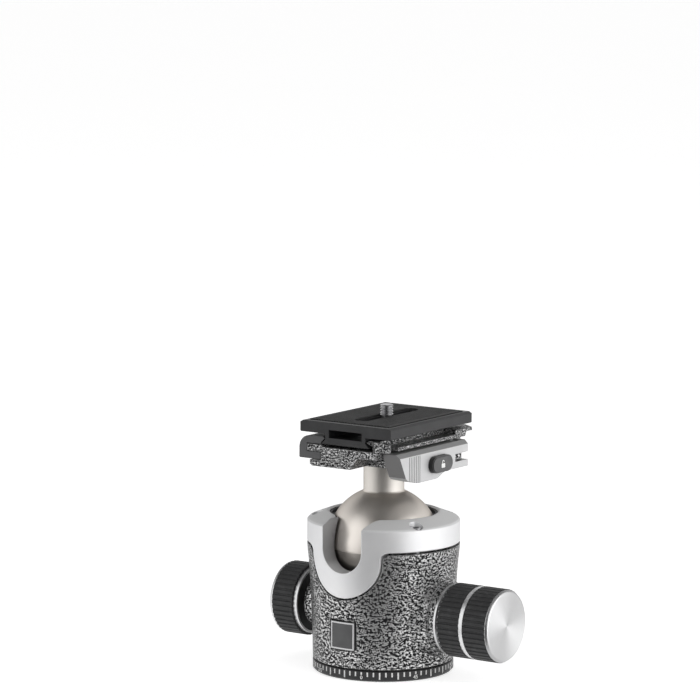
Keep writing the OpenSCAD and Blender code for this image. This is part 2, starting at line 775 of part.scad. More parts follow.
module pan_knob_cap() {
  color([0.8, 0.8, 0.8]) translate([-pan_x1 - fix_gap, 0, knob_z]) rotate([0, -90, 0])
    rotate_extrude() polygon([[0, 0], [cap_r, 0], [cap_r, 0.65 * pan_cap_w],
      [cap_r - 0.35 * pan_cap_w, pan_cap_w], [0, pan_cap_w]]);
}

module pan_lock_screw() {
  color([0.6, 0.6, 0.6]) along_x(-pan_x1, pan_screw_r, pan_x1 - shoe_x - shoe_l - wedge_travel - screw_gap);
}

module pan_brake_shoe() {
  color([0.75, 0.6, 0.3]) along_x(-shoe_x - shoe_l, shoe_r, shoe_l);
}

module lock_knob_grip() {
  color([0.04, 0.04, 0.04]) difference() {
    ribbed_x(lock_x0, lock_w);
    along_x(0, lock_spindle_r + fix_gap, far);
  }
}

module lock_knob_cap() {
  color([0.85, 0.85, 0.85]) translate([lock_x1 + fix_gap, 0, knob_z]) rotate([0, 90, 0])
    rotate_extrude() polygon([[0, 0], [cap_r, 0], [cap_r, 0.2 * cap_w], [cap_r - 0.6 * cap_w, 0.9 * cap_w],
      [cap_r - 0.9 * cap_w, cap_w], [0, cap_w]]);
}

module lock_spindle() {
  color([0.6, 0.6, 0.6]) along_x(spindle_tip, lock_spindle_r, lock_x1 - spindle_tip);
}

module friction_ring_grip() {
  color([0.04, 0.04, 0.04]) difference() {
    ribbed_x(friction_x0, friction_w);
    along_x(0, hub_r + fix_gap, far);
  }
}

module friction_ring_hub() {
  color([0.6, 0.6, 0.6]) difference() {
    along_x(friction_x0, hub_r, friction_w);
    along_x(0, lock_bush_r + run_gap, friction_x0 + lock_bush_out + body_gap);
    along_x(0, lock_spindle_r + body_gap, far);
  }
}

module friction_ring_trim() {
  color([0.82, 0.82, 0.82]) difference() {
    along_x(friction_x0 + friction_w + fix_gap, trim_r + edge / 2, trim_w - fix_gap);
    along_x(0, lock_spindle_r + body_gap, far);
  }
}

module lock_wedge() {
  wedge_z0 = knob_z - lock_spindle_r;
  color([0.55, 0.55, 0.56]) along_y(-wedge_w / 2, wedge_w / 2)
    polygon([[wedge_x0, wedge_z0], [wedge_x1, wedge_z0], [wedge_x1, wedge_z1],
      [wedge_x0, wedge_z1 - wedge_l * wedge_tan]]);
}

module friction_cup() {
  foot_x0 = cup_r0 + screw_gap;
  foot_x1 = wedge_x1 - ball_room;
  color([0.2, 0.2, 0.2]) difference() {
    union() {
      difference() {
        translate([0, 0, cup_z]) cylinder(r = bore_r - run_gap, h = cup_h);
        cylinder(r = cup_r0, h = far);
      }
      along_y(-wedge_w / 2 + edge, wedge_w / 2 - edge)
        polygon([[foot_x0, cup_z + 1], [foot_x1, cup_z + 1],
          [foot_x1, wedge_z1 - (wedge_x1 - foot_x1) * wedge_tan + run_gap],
          [foot_x0, wedge_z1 - (wedge_x1 - foot_x0) * wedge_tan + run_gap]]);
    }
    translate([0, 0, ball_z]) sphere(r = ball_r + run_gap);
  }
}

module ball() {
  foot_r = neck_r + neck_foot;
  color([0.75, 0.73, 0.69]) difference() {
    union() {
      translate([0, 0, ball_z]) sphere(r = ball_r);
      translate([0, 0, ball_z]) cylinder(r = neck_r, h = neck_h);
      translate([0, 0, ball_z + sqrt(pow(ball_r, 2) - pow(foot_r, 2)) - seam])
        cylinder(r1 = foot_r, r2 = neck_r, h = 2 * neck_foot);
    }
    translate([0, 0, neck_z - bolt_hole]) cylinder(r = bolt_r + run_gap, h = far);
    translate([0, 0, ball_z - seam_drop - seam]) difference() {
      cylinder(r = 2 * ball_r, h = 2 * seam);
      translate([0, 0, -1]) cylinder(r = ball_r - seam, h = far);
    }
  }
}

module clamp_body() {
  lug_z = fork_z0 + body_gap;
  lug_h = fork_h - 2 * body_gap;
  color([0.22, 0.22, 0.22]) difference() {
    along_y(clamp_y0, clamp_y1)
      polygon([[clamp_x0 + 1, clamp_z0], [clamp_x1, clamp_z0], [clamp_x1, overhang_z],
        [rail_x, overhang_z], [rail_x, jaw_top - rail_slope], [rail_x - relief_in / 2, jaw_top],
        [groove_waist + waist_in / 2, jaw_top],
        [groove_waist, jaw_top - 2 * edge], [groove_waist, foot_z + 2 * edge + waist_in],
        [groove_x, foot_z + 2 * edge], [groove_x, clamp_floor], [-foot_x, clamp_floor], [-foot_x, shelf_z],
        [shelf_x + body_gap, shelf_z], [shelf_x + body_gap, tongue_z1 + body_gap],
        [-groove_x, tongue_z1 + body_gap], [-groove_x, tongue_z0 - body_gap],
        [clamp_x0, tongue_z0 - body_gap], [clamp_x0, clamp_z0 + 1]]);
    along_y(-far, clamp_y0 + nose_cut)
      polygon([[0.16 * clamp_x1, 0], [0.16 * clamp_x1, clamp_z0], [0.41 * clamp_x1, nose_z], [far, nose_z],
        [far, 0]]);
    translate([rail_x - relief_in, clamp_y0 + relief_front, sill_z])
      cube([far, clamp_l - relief_front - relief_back, far]);
    translate([rail_x - pocket_in, clamp_y0 + relief_front, overhang_z - 1]) cube([far, pocket_l, far]);
    translate([clamp_x1 + body_gap, 0, 0]) rotate([90, 0, 90]) linear_extrude(height = far)
      polygon([[clamp_y1 - sill_end, overhang_z - 1], [clamp_y1 - 0.75 * sill_end, sill_z + edge],
        [clamp_y1 + 1, sill_z + edge], [clamp_y1 + 1, overhang_z - 1]]);
    translate([0, 0, -1]) cylinder(r = bolt_r + fix_gap, h = far);
    translate([0, 0, clamp_floor - bolt_head_h - edge]) cylinder(r = bolt_head_r + 0.7, h = far);
    translate([pivot_x, pivot_y, 0]) cylinder(r = lever_tail + 5 * body_gap, h = overhang_z);
    translate([-stop_r - 0.6, stop_y[0] - plate_travel - stop_r - body_gap, clamp_floor - 3 * body_gap])
      cube([2 * stop_r + 1.2, 2 * (stop_out + plate_travel + stop_r + body_gap), far]);
    for (y = [-rod_space / 2, rod_space / 2]) translate([0, y, rod_z]) rotate([0, 90, 0]) {
      translate([0, 0, -far]) cylinder(r = rod_r + run_gap, h = far + rod_in + 3 * body_gap);
      translate([0, 0, -groove_x - 1]) cylinder(r = spring_r + 0.3, h = spring_l + 1 + body_gap);
    }
    for (y = [clamp_y0, clamp_y1]) translate([groove_x, y, clamp_floor + 0.1])
      rotate([0, 0, 45]) translate([-rail_cut / 2, -rail_cut / 2, 0]) cube([rail_cut, rail_cut, far]);
    translate([rail_x, clamp_y0, 0]) rotate([0, 0, 45])
      translate([-edge, -edge, 0]) cube([2 * edge, 2 * edge, far]);
  }
  color([0.22, 0.22, 0.22]) difference() {
    union() {
      translate([pivot_x, pivot_y, lug_z]) cylinder(r = lug_r, h = lug_h);
      translate([pivot_x / 2, pivot_y - 0.8 * lug_r, lug_z]) cube([pivot_x / 2, 1.6 * lug_r, lug_h]);
    }
    translate([pivot_x, pivot_y, 0]) cylinder(r = pin_r + fix_gap, h = far);
  }
}

module clamp_bolt() {
  color([0.35, 0.35, 0.36]) difference() {
    union() {
      translate([0, 0, clamp_floor - bolt_head_h - edge]) cylinder(r = bolt_head_r, h = bolt_head_h);
      translate([0, 0, neck_z - bolt_hole + 1])
        cylinder(r = bolt_r, h = clamp_floor - bolt_head_h - neck_z + bolt_hole);
    }
    translate([0, 0, clamp_floor - 0.7 * bolt_head_h]) cylinder(r = 0.53 * bolt_head_r, h = far, $fn = 6);
  }
}

module jaw_springs() {
  color([0.6, 0.6, 0.6]) for (y = [-rod_space / 2, rod_space / 2])
    translate([-groove_x + wire_r, y, rod_z]) rotate([0, 90, 0])
      coil(spring_turns, spring_r - wire_r, coil_pitch);
}

module lever_pin() {
  color([0.6, 0.6, 0.6]) translate([pivot_x, pivot_y, lever_bottom + edge])
    cylinder(r = pin_r, h = lever_h - 2 * edge);
}

module movable_jaw() {
  jaw_y0 = clamp_y0 + edge / 2;
  jaw_y1 = clamp_y1 - edge;
  jaw_z = shelf_z + body_gap + run_gap;
  color([0.28, 0.28, 0.29]) difference() {
    along_y(jaw_y0, jaw_y1)
      polygon(concat([[jaw_x + edge, tongue_z0], [tongue_x, tongue_z0], [tongue_x, tongue_z1],
        [shelf_x, tongue_z1], [shelf_x, jaw_z], [-groove_x, jaw_z],
        [-groove_x, foot_z + 2 * edge], [-groove_waist, foot_z + 2 * edge + waist_in],
        [-groove_waist, jaw_top - 2 * edge], [-groove_waist - waist_in / 2, jaw_top]],
        arc(jaw_x + jaw_round, jaw_top - jaw_round, jaw_round, 90, 180, 8), [[jaw_x, tongue_z0 + edge]]));
    for (y = [-rod_space / 2, rod_space / 2]) translate([jaw_x + waist_in, y, rod_z]) rotate([0, 90, 0])
      cylinder(r = rod_r + fix_gap, h = far);
  }
}

module jaw_rods() {
  color([0.6, 0.6, 0.6]) for (y = [-rod_space / 2, rod_space / 2])
    translate([jaw_x + waist_in + fix_gap, y, rod_z]) rotate([0, 90, 0])
      cylinder(r = rod_r, h = rod_in - jaw_x - waist_in - fix_gap);
}

module clamp_lever() {
  belly_y0 = lever_y0 + belly_start;
  belly_y1 = belly_y0 + belly_l;
  color([0.75, 0.75, 0.75]) difference() {
    translate([lever_x0, 0, 0]) rotate([90, 0, 90]) linear_extrude(height = lever_t)
      polygon([[lever_y0, lever_top], [lever_y0 - edge / 4, lever_top - edge],
        [lever_y0 + nose_l, lever_bottom + 0.3 * belly],
        [lever_y0 + 1.28 * nose_l, lever_bottom - 0.15 * belly],
        [lever_y0 + 0.88 * belly_start, lever_belly + edge / 2], [belly_y0, lever_belly],
        [belly_y1, lever_belly], [belly_y1 + 0.18 * belly_slope, lever_belly + 0.11 * belly],
        [belly_y1 + 0.87 * belly_slope, lever_bottom - edge / 2], [belly_y1 + belly_slope, lever_bottom],
        [lever_y1, lever_bottom], [lever_y1, lever_top]]);
    translate([0, pivot_y - fork_back, fork_z0]) cube([far, far, fork_h]);
    translate([pivot_x, pivot_y, 0]) {
      cylinder(r = pin_r + run_gap, h = far);
      difference() {
        translate([-far, 0, 0]) cube([far - edge, far, far]);
        cylinder(r = lever_tail + 1, h = far);
      }
    }
    translate([button_back - button_travel - body_gap, button_y, button_z]) rotate([90, 0, 90])
      linear_extrude(height = far) button_shape(run_gap);
    translate([lever_x0 + edge, button_y, button_z]) rotate([0, 90, 0]) cylinder(r = 4 * wire_r, h = lever_t);
    translate([lever_x1, 0, lever_top]) rotate([0, 45, 0])
      cube([1.42 * lever_bevel, 2 * far, 1.42 * lever_bevel], center = true);
    if (lever_ribs > 0) for (i = [0:lever_ribs - 1])
      translate([lever_x1, lever_y0 + 1.5 * nose_l + lever_rib_pitch * i, 0])
        cylinder(r = 0.2 * lever_rib_pitch, h = lever_top - lever_bevel - edge);
    translate([lever_x0, 0, lever_belly]) rotate([0, 45, 0])
      cube([1.42 * lever_chamfer, 2 * far, 1.42 * lever_chamfer], center = true);
    translate([lever_x0, lever_y0, 0]) rotate([0, 0, 45])
      translate([-edge, -edge, 0]) cube([2 * edge, 2 * edge, far]);
  }
}

module button_shape(extra) {
  for (s = [-1, 1]) translate([s * (button_l - button_h) / 2, 0]) circle(r = button_h / 2 + extra);
  square([button_l - button_h, button_h + 2 * extra], center = true);
}

module button_spring() {
  color([0.6, 0.6, 0.6]) translate([lever_x0 + edge + 1.5 * wire_r, button_y, button_z]) rotate([0, 90, 0])
    coil(3, 2.7 * wire_r, button_coil_pitch);
}

module lock_button() {
  button_w = button_in + button_proud;
  color([0.2, 0.2, 0.2]) translate([button_back, button_y, button_z]) rotate([90, 0, 90]) {
    linear_extrude(height = button_w - edge) button_shape(0);
    translate([0, 0, button_w - edge]) linear_extrude(height = edge) button_shape(-edge);
  }
}

module plate() {
  flank_z = foot_z + edge + waist_in;
  bevel = 2.2 * edge;
  color([0.1, 0.1, 0.1]) difference() {
    along_y(plate_y0, plate_y1)
      polygon([[-foot_x, foot_z], [foot_x, foot_z], [foot_x, foot_z + edge], [waist_x, flank_z],
        [waist_x, plate_z0], [plate_x - edge, plate_z0], [plate_x, plate_z0 + edge],
        [plate_x, plate_z1 - bevel], [plate_x - 1.8 * bevel, plate_z1],
        [-plate_x + 1.8 * bevel, plate_z1], [-plate_x, plate_z1 - bevel],
        [-plate_x, plate_z0 + edge], [-plate_x + edge, plate_z0], [-waist_x, plate_z0], [-waist_x, flank_z],
        [-foot_x, foot_z + edge]]);
    translate([-channel_x, -far, channel_z0]) cube([2 * channel_x, 2 * far, channel_h]);
    stud_slot(body_gap, channel_z0);
    translate([-plate_x + pad_border, plate_y0 + pad_border, plate_z1 - pad_in])
      cube([2 * (plate_x - pad_border), plate_l - 2 * pad_border, far]);
    for (y = stop_y) translate([0, y, 0]) cylinder(r = stop_r + fix_gap, h = channel_z0 + 1);
    translate([0, plate_mid, 0]) cylinder(r = bolt_r, h = channel_z0 + 1);
  }
}

module stud_slot(extra, z) {
  translate([-stud_r - extra, plate_mid - slot_y, z]) cube([2 * (stud_r + extra), 2 * slot_y, far]);
  for (y = [-slot_y, slot_y]) translate([0, plate_mid + y, z]) cylinder(r = stud_r + extra, h = far);
}

module plate_pad() {
  inset = pad_border + run_gap;
  color([0.05, 0.05, 0.05]) difference() {
    translate([-plate_x + inset, plate_y0 + inset, plate_z1 - pad_in + fix_gap])
      cube([2 * (plate_x - inset), plate_l - 2 * inset, pad_t]);
    stud_slot(2.5 * body_gap, plate_z0);
  }
}

module plate_stops() {
  color([0.6, 0.6, 0.6]) for (y = stop_y) translate([0, y, clamp_floor - 2 * body_gap])
    cylinder(r = stop_r, h = channel_z0 - clamp_floor + 2 * body_gap - fix_gap);
}

module camera_screw() {
  head_h = channel_h - 2 * body_gap;
  shank_z = plate_z1 - pad_in + pad_t + run_gap + fix_gap;
  color([0.6, 0.6, 0.6]) translate([0, plate_mid, 0]) difference() {
    union() {
      translate([0, 0, channel_z0 + body_gap]) cylinder(r = stud_head_r, h = head_h);
      translate([0, 0, channel_z0 + body_gap]) cylinder(r = 0.8 * stud_r, h = channel_h + plate_t);
      translate([0, 0, shank_z]) cylinder(r = stud_r, h = plate_z1 + stud_h - shank_z);
    }
    cylinder(r = 0.72 * stud_r, h = channel_z0 + body_gap + 0.6 * head_h, $fn = 6);
  }
}

base_ring();
pan_spindle();
base_screws();
pan_washer();
retaining_ring();
housing();
collar();
collar_liner();
collar_screws();
badge_plate();
lock_bush();
pan_bush();
boss_ring();
cup_spring();
pan_knob_grip();
pan_knob_ring();
pan_knob_cap();
pan_lock_screw();
pan_brake_shoe();
lock_knob_grip();
lock_knob_cap();
lock_spindle();
friction_ring_grip();
friction_ring_hub();
friction_ring_trim();
lock_wedge();
friction_cup();
ball();
clamp_body();
clamp_bolt();
jaw_springs();
lever_pin();
movable_jaw();
jaw_rods();
clamp_lever();
button_spring();
lock_button();
plate();
plate_pad();
plate_stops();
camera_screw();
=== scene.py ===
import json
import math

import bmesh
import bpy
from mathutils import Matrix, Vector


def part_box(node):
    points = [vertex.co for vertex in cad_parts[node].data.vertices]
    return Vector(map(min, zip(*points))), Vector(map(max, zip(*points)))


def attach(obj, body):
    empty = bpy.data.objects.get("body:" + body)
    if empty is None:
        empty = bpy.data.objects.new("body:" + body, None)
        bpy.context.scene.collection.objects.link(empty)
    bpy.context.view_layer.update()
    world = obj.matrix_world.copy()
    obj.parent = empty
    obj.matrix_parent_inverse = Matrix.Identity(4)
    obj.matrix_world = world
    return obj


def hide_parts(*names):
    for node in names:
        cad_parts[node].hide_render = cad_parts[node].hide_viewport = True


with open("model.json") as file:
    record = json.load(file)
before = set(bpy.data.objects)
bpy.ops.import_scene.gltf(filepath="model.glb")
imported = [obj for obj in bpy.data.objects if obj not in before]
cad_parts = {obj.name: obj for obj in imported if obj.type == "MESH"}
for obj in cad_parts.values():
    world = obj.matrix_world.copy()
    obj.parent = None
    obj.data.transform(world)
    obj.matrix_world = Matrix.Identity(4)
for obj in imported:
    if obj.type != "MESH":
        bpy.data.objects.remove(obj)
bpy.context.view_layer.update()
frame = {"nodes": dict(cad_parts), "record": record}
nodes = frame["nodes"]
mm = 0.001
print("frame loaded:", len(nodes), "nodes")

# camera: long lens, a little above the head and to the right of the notch
shot = {"turn": 34.9, "drop": 7.765, "roll": 0.199, "away": 1950, "aside": 16.394, "above": 97.517,
        "lens": 205.68, "sensor": 36, "clip": (0.05, 60), "aim": (0, 0, 62.4)}


def placeCamera():
    turn, drop, roll = (math.radians(shot[k]) for k in ("turn", "drop", "roll"))
    back = Vector((math.sin(turn) * math.cos(drop), -math.cos(turn) * math.cos(drop), math.sin(drop)))
    right = Vector((math.cos(turn), math.sin(turn), 0))
    up = back.cross(right)
    right, up = right * math.cos(roll) + up * math.sin(roll), up * math.cos(roll) - right * math.sin(roll)
    spot = Vector(shot["aim"]) + back * shot["away"] - right * shot["aside"] + up * shot["above"]
    lens = bpy.data.cameras.new("camera")
    lens.lens, lens.sensor_width = shot["lens"], shot["sensor"]
    lens.clip_start, lens.clip_end = shot["clip"]
    eye = bpy.data.objects.new("camera", lens)
    eye.matrix_world = Matrix.Translation(spot * mm) @ Matrix((right, up, back)).transposed().to_4x4()
    bpy.context.collection.objects.link(eye)
    bpy.context.scene.camera = eye
    return right, Vector((back.x, back.y, 0)).normalized()


viewRight, towardsLens = placeCamera()
bpy.context.scene.view_settings.view_transform = "Standard"
print("camera placed")


class Wire:
    # a shader socket that takes part in sums
    def __init__(self, finish, socket):
        self.finish, self.socket = finish, socket

    def calc(self, operation, *terms):
        return self.finish.add("ShaderNodeMath", {"operation": operation}, dict(enumerate(terms)))

    def __add__(self, other):
        return self.calc("ADD", self, other)

    def __sub__(self, other):
        return self.calc("SUBTRACT", self, other)

    def __rsub__(self, other):
        return self.calc("SUBTRACT", other, self)

    def __mul__(self, other):
        return self.calc("MULTIPLY", self, other)

    def __abs__(self):
        return self.calc("ABSOLUTE", self)

    __radd__, __rmul__ = __add__, __mul__

    def most(self, other):
        return self.calc("MAXIMUM", self, other)

    def sine(self):
        return self.calc("SINE", self)

    def sway(self, span):
        # a noise of 0 to 1, spread to both sides of nothing
        return (self - 0.5) * span

    def step(self, low, high):
        return self.finish.add("ShaderNodeMapRange", {"interpolation_type": "SMOOTHSTEP"},
                               {0: self, 1: low, 2: high, 3: 0.0, 4: 1.0})


# softened corners: samples, and the range over which a corner counts as worn and takes a painted highlight
corners = {"samples": 6, "worn": (0.02, 0.25)}


class Finish:
    # a material, built node by node; what is the same all over is set on the shader itself
    def __init__(self, name, holder=None, **plain):
        self.holder = holder or bpy.data.materials.new(name)
        self.holder.use_nodes = True
        self.tree = self.holder.node_tree
        if holder is None:
            self.shader = self.tree.nodes["Principled BSDF"]
            self.set(**plain)

    def feed(self, socket, value):
        if isinstance(value, Wire):
            self.tree.links.new(value.socket, socket)
        else:
            socket.default_value = value

    def set(self, **values):
        for key, value in values.items():
            self.feed(self.shader.inputs[key.replace("_", " ")], value)

    def add(self, kind, settings=None, sockets=None, out=0):
        node = self.tree.nodes.new(kind)
        for key, value in (settings or {}).items():
            setattr(node, key, value)
        for key, value in (sockets or {}).items():
            self.feed(node.inputs[key], value)
        return Wire(self, node.outputs[out])

    def place(self, kind="Object"):
        return self.add("ShaderNodeTexCoord", out=kind)

    def axes(self, kind="Object"):
        split = self.add("ShaderNodeSeparateXYZ", None, {0: self.place(kind)})
        return [Wire(self, split.socket.node.outputs[i]) for i in range(3)]

    def rays(self):
        # what sort of ray arrives: from the lens, off a mirror, through glass
        path = self.add("ShaderNodeLightPath").socket.node
        return [Wire(self, path.outputs[name]) for name in
                ("Is Camera Ray", "Is Glossy Ray", "Is Transmission Ray")]

    def noise(self, scale, detail, rough=0.5):
        return self.add("ShaderNodeTexNoise", None, {"Vector": self.place(), "Scale": scale,
                                                     "Detail": detail, "Roughness": rough})

    def lines(self, along, scale):
        return self.add("ShaderNodeTexNoise", {"noise_dimensions": "1D"}, {"W": along * scale, "Detail": 1.5})

    def mix(self, share, first, second):
        first, second = ((*c, 1) if isinstance(c, tuple) else c for c in (first, second))
        return self.add("ShaderNodeMix", {"data_type": "RGBA"}, {0: share, 6: first, 7: second}, 2)

    def soft(self, radius):
        return self.add("ShaderNodeBevel", {"samples": corners["samples"]}, {"Radius": radius})

    def relief(self, height, depth, radius):
        # both in metres: how deep the relief is, and how far corners are softened
        self.set(Normal=self.add("ShaderNodeBump", None, {"Height": height, "Strength": 1.0, "Distance": depth,
                                                          "Normal": self.soft(radius)}))

    def worn(self, radius):
        # 0 on flats, towards 1 on corners
        flat = self.add("ShaderNodeNewGeometry", out="Normal")
        dot = self.add("ShaderNodeVectorMath", {"operation": "DOT_PRODUCT"},
                       {0: self.soft(radius), 1: flat}, 1)
        return (1 - dot).step(*corners["worn"])


# textured paint: fine crawling light marks on near-black, and a painted highlight along its edges
paint = {"dark": (0.011, 0.011, 0.012), "light": (0.76, 0.76, 0.76), "edgeTint": (0.3, 0.3, 0.3, 1),
         "waves": 2.0, "grain": 1020, "broken": 0.35, "patch": 102, "patchSpan": (0.3, 0.7), "speck": 3264,
         "corner": 0.0005, "cornerShare": 0.8, "share": 0.7, "vary": 0.2, "rough": 0.34, "markRough": 0.04,
         "speckRough": 0.1, "metal": 0.1, "markMetal": 0.85, "markCoat": 0.15, "depth": 0.0001, "soft": 0.0004}


def hammerPaint(name, sizes, low, high):
    # sizes are the two scales of the marks, low and high the range over which they turn light
    f = Finish(name, Specular_IOR_Level=0.2, Specular_Tint=paint["edgeTint"], Coat_Roughness=0.15)
    coarse, fine = (f.add("ShaderNodeTexGabor", {"gabor_type": "3D"}, {"Vector": f.place(), "Scale": scale,
                          "Frequency": paint["waves"], "Anisotropy": 0.0}) for scale in sizes)
    broken = f.noise(paint["grain"], 2).sway(paint["broken"])
    # painted highlight: the paint's edges turn light like its marks
    worn = f.worn(paint["corner"]) * paint["cornerShare"]
    marks = (coarse + fine + broken).step(low, high).most(worn)
    patch = f.noise(paint["patch"], 2).step(*paint["patchSpan"])
    speck = f.noise(paint["speck"], 2, 0.6)
    share = marks * (paint["share"] + patch * paint["vary"] + speck * paint["vary"])
    f.set(Base_Color=f.mix(share, paint["dark"], paint["light"]),
          Roughness=paint["rough"] - marks * paint["markRough"] + speck.sway(paint["speckRough"]),
          Metallic=paint["metal"] + marks * paint["markMetal"], Coat_Weight=marks * paint["markCoat"])
    f.relief(marks, paint["depth"], paint["soft"])
    return f


# collar and apron: bead-blasted, clear anodised; painted shade on the notch's sides and on the top, which is
# also less metallic
silver = {"tone": (0.87, 0.87, 0.875), "shade": (0.81, 0.81, 0.82), "paintedNotchShade": (0.52, 0.52, 0.525),
          "top": (0.68, 0.68, 0.68), "worn": (0.92, 0.92, 0.92), "edgeTint": (0.6, 0.6, 0.6, 1),
          "grain": 5200, "cloud": 45, "cloudSpan": (0.3, 0.7), "topSpan": (0.5, 0.9), "sideSpan": (0.3, 0.6),
          "notch": 0.0118, "blur": 0.0004, "corner": 0.0004, "cornerShare": 0.5, "metal": 0.6, "topMetal": 0.4,
          "rough": 0.46, "grainRough": 0.18, "cloudRough": 0.08, "depth": 0.000012, "soft": 0.0005}


def satinSilver():
    f = Finish("satinSilver", Specular_IOR_Level=0.25, Specular_Tint=silver["edgeTint"])
    grain = f.noise(silver["grain"], 2, 0.6)
    cloud = f.noise(silver["cloud"], 3, 0.55)
    worn = f.worn(silver["corner"])
    facing = f.axes("Normal")
    # painted shade: the top, and the notch's sides that face along x, darker
    top = facing[2].step(*silver["topSpan"])
    outside = abs(f.axes()[0]).step(silver["notch"], silver["notch"] + silver["blur"])
    paintedNotchShade = abs(facing[0]).step(*silver["sideSpan"]) * (1 - outside)
    skin = f.mix(cloud.step(*silver["cloudSpan"]), silver["shade"], silver["tone"])
    skin = f.mix(top, f.mix(paintedNotchShade, skin, silver["paintedNotchShade"]), silver["top"])
    f.set(Base_Color=f.mix(worn * silver["cornerShare"], skin, silver["worn"]),
          Metallic=silver["metal"] - top * silver["topMetal"],
          Roughness=silver["rough"] + grain.sway(silver["grainRough"]) + cloud.sway(silver["cloudRough"]))
    f.relief(grain, silver["depth"], silver["soft"])
    return f


# ball and neck: warm hard-anodised, with faint turning marks; painted shade below the ball's seam
warm = {"tone": (0.88, 0.83, 0.77), "shade": (0.78, 0.73, 0.68), "under": (0.44, 0.41, 0.38),
        "neck": (0.80, 0.765, 0.72), "edgeTint": (0.3, 0.29, 0.28, 1), "seam": 0.0610, "foot": 0.0885,
        "blur": 0.0003, "turning": 5200, "turnShare": 0.25, "cloud": 60, "cloudSpan": (0.25, 0.75),
        "cloudShare": 0.6, "rough": 0.37, "neckRough": 0.13, "turnRough": 0.14, "cloudRough": 0.08,
        "depth": 0.000006, "soft": 0.0003}


def champagne():
    f = Finish("champagne", Metallic=0.95, Specular_Tint=warm["edgeTint"])
    height = f.axes()[2]
    turned = f.lines(height, warm["turning"])
    cloud = f.noise(warm["cloud"], 3)
    # painted shade: the ball darker below its seam
    under = 1 - height.step(warm["seam"] - warm["blur"], warm["seam"])
    neck = height.step(warm["foot"], warm["foot"] + warm["blur"])
    share = cloud.step(*warm["cloudSpan"]) * warm["cloudShare"] + turned * warm["turnShare"]
    ball = f.mix(under, f.mix(share, warm["shade"], warm["tone"]), warm["under"])
    f.set(Base_Color=f.mix(neck, ball, warm["neck"]),
          Roughness=(warm["rough"] + neck * warm["neckRough"] + turned.sway(warm["turnRough"])
                     + cloud.sway(warm["cloudRough"])))
    f.relief(turned, warm["depth"], warm["soft"])
    return f


# turned cap faces: fine rings, and a painted sheen that comes and goes twice round the axis
spin = {"dark": (0.39, 0.39, 0.3926), "light": (0.84, 0.84, 0.8456), "rings": 6500, "ringShare": 0.3,
        "sheens": 2, "phase": 0.35, "paintedSheenShare": 0.35, "middle": 0.35, "rough": 0.3, "ringRough": 0.2,
        "depth": 0.000008, "soft": 0.0002}


def spun():
    # for pieces whose own z is the axis
    f = Finish("spunFace", Metallic=1.0, Anisotropic=0.95)
    flat = f.add("ShaderNodeVectorMath", {"operation": "MULTIPLY"}, {0: f.place(), 1: (1, 1, 0)})
    rings = f.lines(f.add("ShaderNodeVectorMath", {"operation": "LENGTH"}, {0: flat}, 1), spin["rings"])
    x, y = f.axes()[:2]
    # painted sheen: the face lighter and darker twice round the axis
    paintedSheen = (x.calc("ARCTAN2", x, y) * spin["sheens"] + spin["phase"]).sine()
    share = rings * spin["ringShare"] + paintedSheen * spin["paintedSheenShare"] + spin["middle"]
    f.set(Base_Color=f.mix(share, spin["dark"], spin["light"]),
          Roughness=spin["rough"] + rings.sway(spin["ringRough"]))
    f.relief(rings, spin["depth"], spin["soft"])
    return f


# rings on the knobs, turned along x
trim = {"dark": (0.64, 0.64, 0.65), "light": (0.80, 0.80, 0.80), "turning": 9000, "rough": 0.27,
        "turnRough": 0.16, "depth": 0.000006, "soft": 0.0003}


def brightTrim():
    f = Finish("brightTrim", Metallic=1.0)
    turned = f.lines(f.axes()[0], trim["turning"])
    f.set(Base_Color=f.mix(turned, trim["dark"], trim["light"]),
          Roughness=trim["rough"] + turned * trim["turnRough"])
    f.relief(turned, trim["depth"], trim["soft"])
    return f


# knob grips: dull rubber, dusty and paler on its ribs
grip = {"dark": (0.032, 0.032, 0.033), "light": (0.105, 0.105, 0.107), "grain": 3600, "dust": 260,
        "dustSpan": (0.45, 0.8), "dustShare": 0.3, "corner": 0.00025, "cornerShare": 0.6, "rough": 0.55,
        "grainRough": 0.3, "depth": 0.00003, "soft": 0.00012}


def rubberGrip():
    f = Finish("rubberGrip", Specular_IOR_Level=0.35)
    grain = f.noise(grip["grain"], 3, 0.65)
    dust = f.noise(grip["dust"], 3, 0.6).step(*grip["dustSpan"])
    share = f.worn(grip["corner"]) * grip["cornerShare"] + dust * grip["dustShare"]
    f.set(Base_Color=f.mix(share, grip["dark"], grip["light"]),
          Roughness=grip["rough"] + grain.sway(grip["grainRough"]))
    f.relief(grain, grip["depth"], grip["soft"])
    return f


# plain anodised aluminium: fine blast, a little lighter on its corners
blasted = {"grain": 4200, "cloud": 90, "cloudSpan": (0.3, 0.75), "cloudShare": 0.35, "corner": 0.0003,
           "cornerShare": 0.45, "grainRough": 0.2, "cloudRough": 0.1, "depth": 0.000015}


def anodised(name, dark, light, rough=0.42, metallic=0.3):
    f = Finish(name, Metallic=metallic)
    grain = f.noise(blasted["grain"], 2, 0.6)
    cloud = f.noise(blasted["cloud"], 3, 0.55)
    share = (f.worn(blasted["corner"]) * blasted["cornerShare"]
             + cloud.step(*blasted["cloudSpan"]) * blasted["cloudShare"])
    f.set(Base_Color=f.mix(share, dark, light),
          Roughness=rough + grain.sway(blasted["grainRough"]) + cloud.sway(blasted["cloudRough"]))
    f.relief(grain, blasted["depth"], blasted["corner"])
    return f


# lever: light satin grey, with painted shade darkening its slanted nose and its upper bevel
lever = {"face": (0.58, 0.58, 0.585), "bright": (0.68, 0.68, 0.68), "nose": (0.17, 0.168, 0.168),
         "bevel": (0.24, 0.24, 0.24), "noseSpan": (-0.8, -0.6), "bevelSpan": (0.4, 0.6), "grain": 4200,
         "cloud": 120, "cloudSpan": (0.35, 0.75), "cloudShare": 0.3, "corner": 0.0004, "cornerShare": 0.6,
         "rough": 0.4, "grainRough": 0.2, "depth": 0.000015, "soft": 0.0002}


